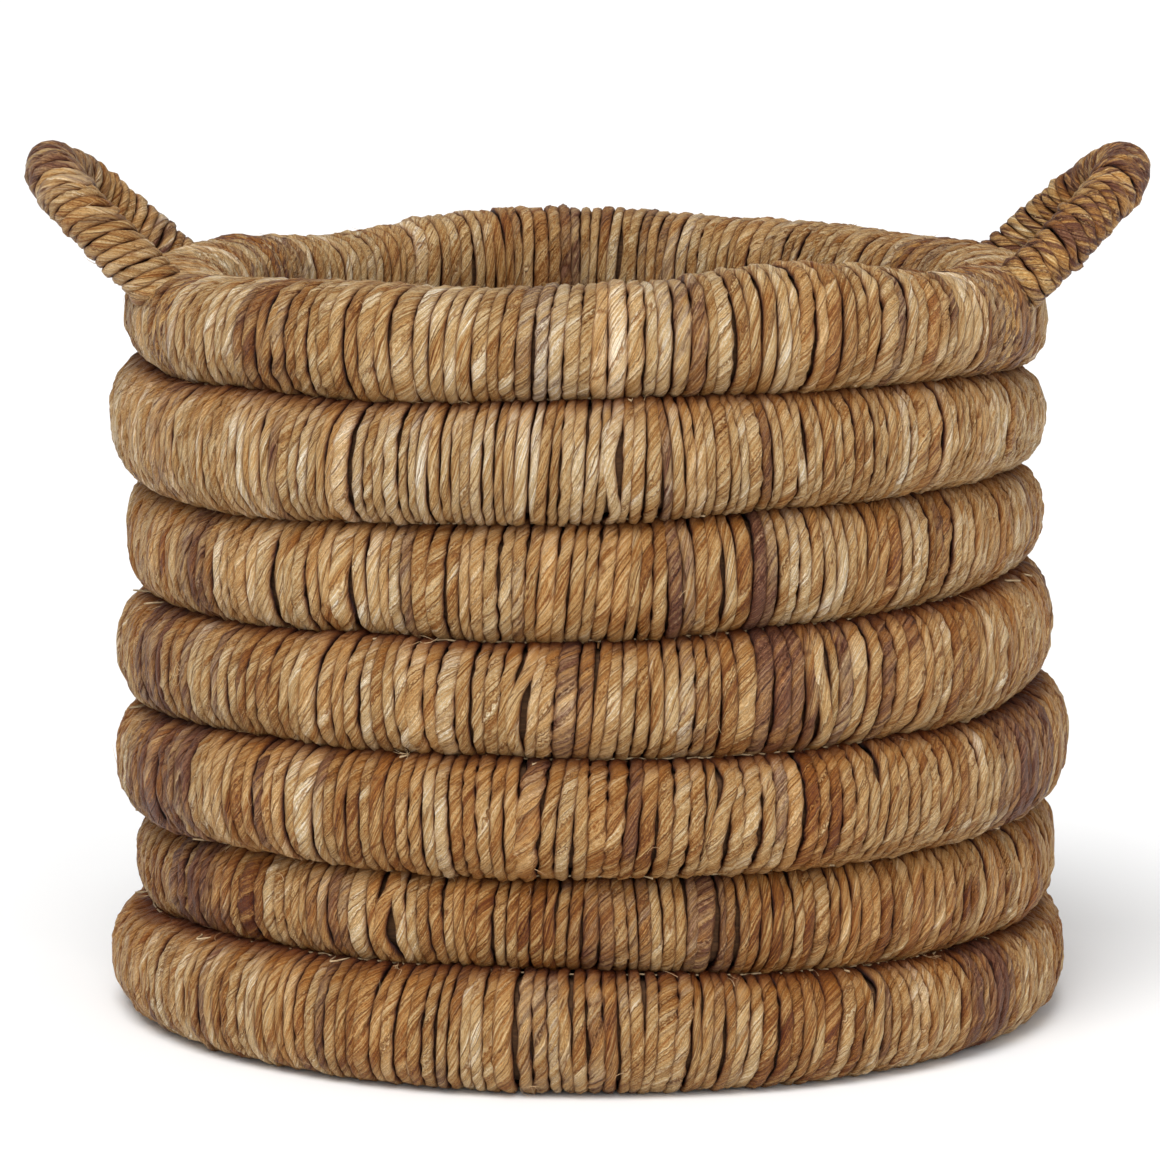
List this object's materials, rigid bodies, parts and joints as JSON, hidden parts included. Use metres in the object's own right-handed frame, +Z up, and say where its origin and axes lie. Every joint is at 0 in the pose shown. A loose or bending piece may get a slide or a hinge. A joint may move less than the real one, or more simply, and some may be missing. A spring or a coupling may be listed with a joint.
{
  "type": "wrapped-coil storage basket",
  "caption": "Round open storage basket built from stacked fat coils bound with twisted leaf cord, with two stiff raised loop handles and a flat spiral base.",
  "frame": {"origin": "on the floor under the middle of the basket", "axes": "+Z up through the open mouth, X through the two handles, -Y towards the front"},
  "size_m": [0.5406, 0.462, 0.4174],
  "materials": {
    "leaf_cord": "satin",
    "handle_cord": "satin",
    "core_fibre": "matte",
    "sewing_thread": "matte"
  },
  "bodies": {
    "root": {"base_coil_core": "core_fibre", "base_coil_wrap": "leaf_cord", "base_thread": "sewing_thread", "handle_left_back_lashing": "handle_cord", "handle_left_core": "core_fibre", "handle_left_front_lashing": "handle_cord", "handle_left_wrap": "handle_cord", "handle_right_back_lashing": "handle_cord", "handle_right_core": "core_fibre", "handle_right_front_lashing": "handle_cord", "handle_right_wrap": "handle_cord", "seam_thread_1": "sewing_thread", "seam_thread_2": "sewing_thread", "seam_thread_3": "sewing_thread", "seam_thread_4": "sewing_thread", "seam_thread_5": "sewing_thread", "seam_thread_6": "sewing_thread", "wall_coil_1_core": "core_fibre", "wall_coil_1_wrap": "leaf_cord", "wall_coil_2_core": "core_fibre", "wall_coil_2_wrap": "leaf_cord", "wall_coil_3_core": "core_fibre", "wall_coil_3_wrap": "leaf_cord", "wall_coil_4_core": "core_fibre", "wall_coil_4_wrap": "leaf_cord", "wall_coil_5_core": "core_fibre", "wall_coil_5_wrap": "leaf_cord", "wall_coil_6_core": "core_fibre", "wall_coil_6_wrap": "leaf_cord", "wall_coil_7_core": "core_fibre", "wall_coil_7_wrap": "leaf_cord"}
  },
  "joints": []
}
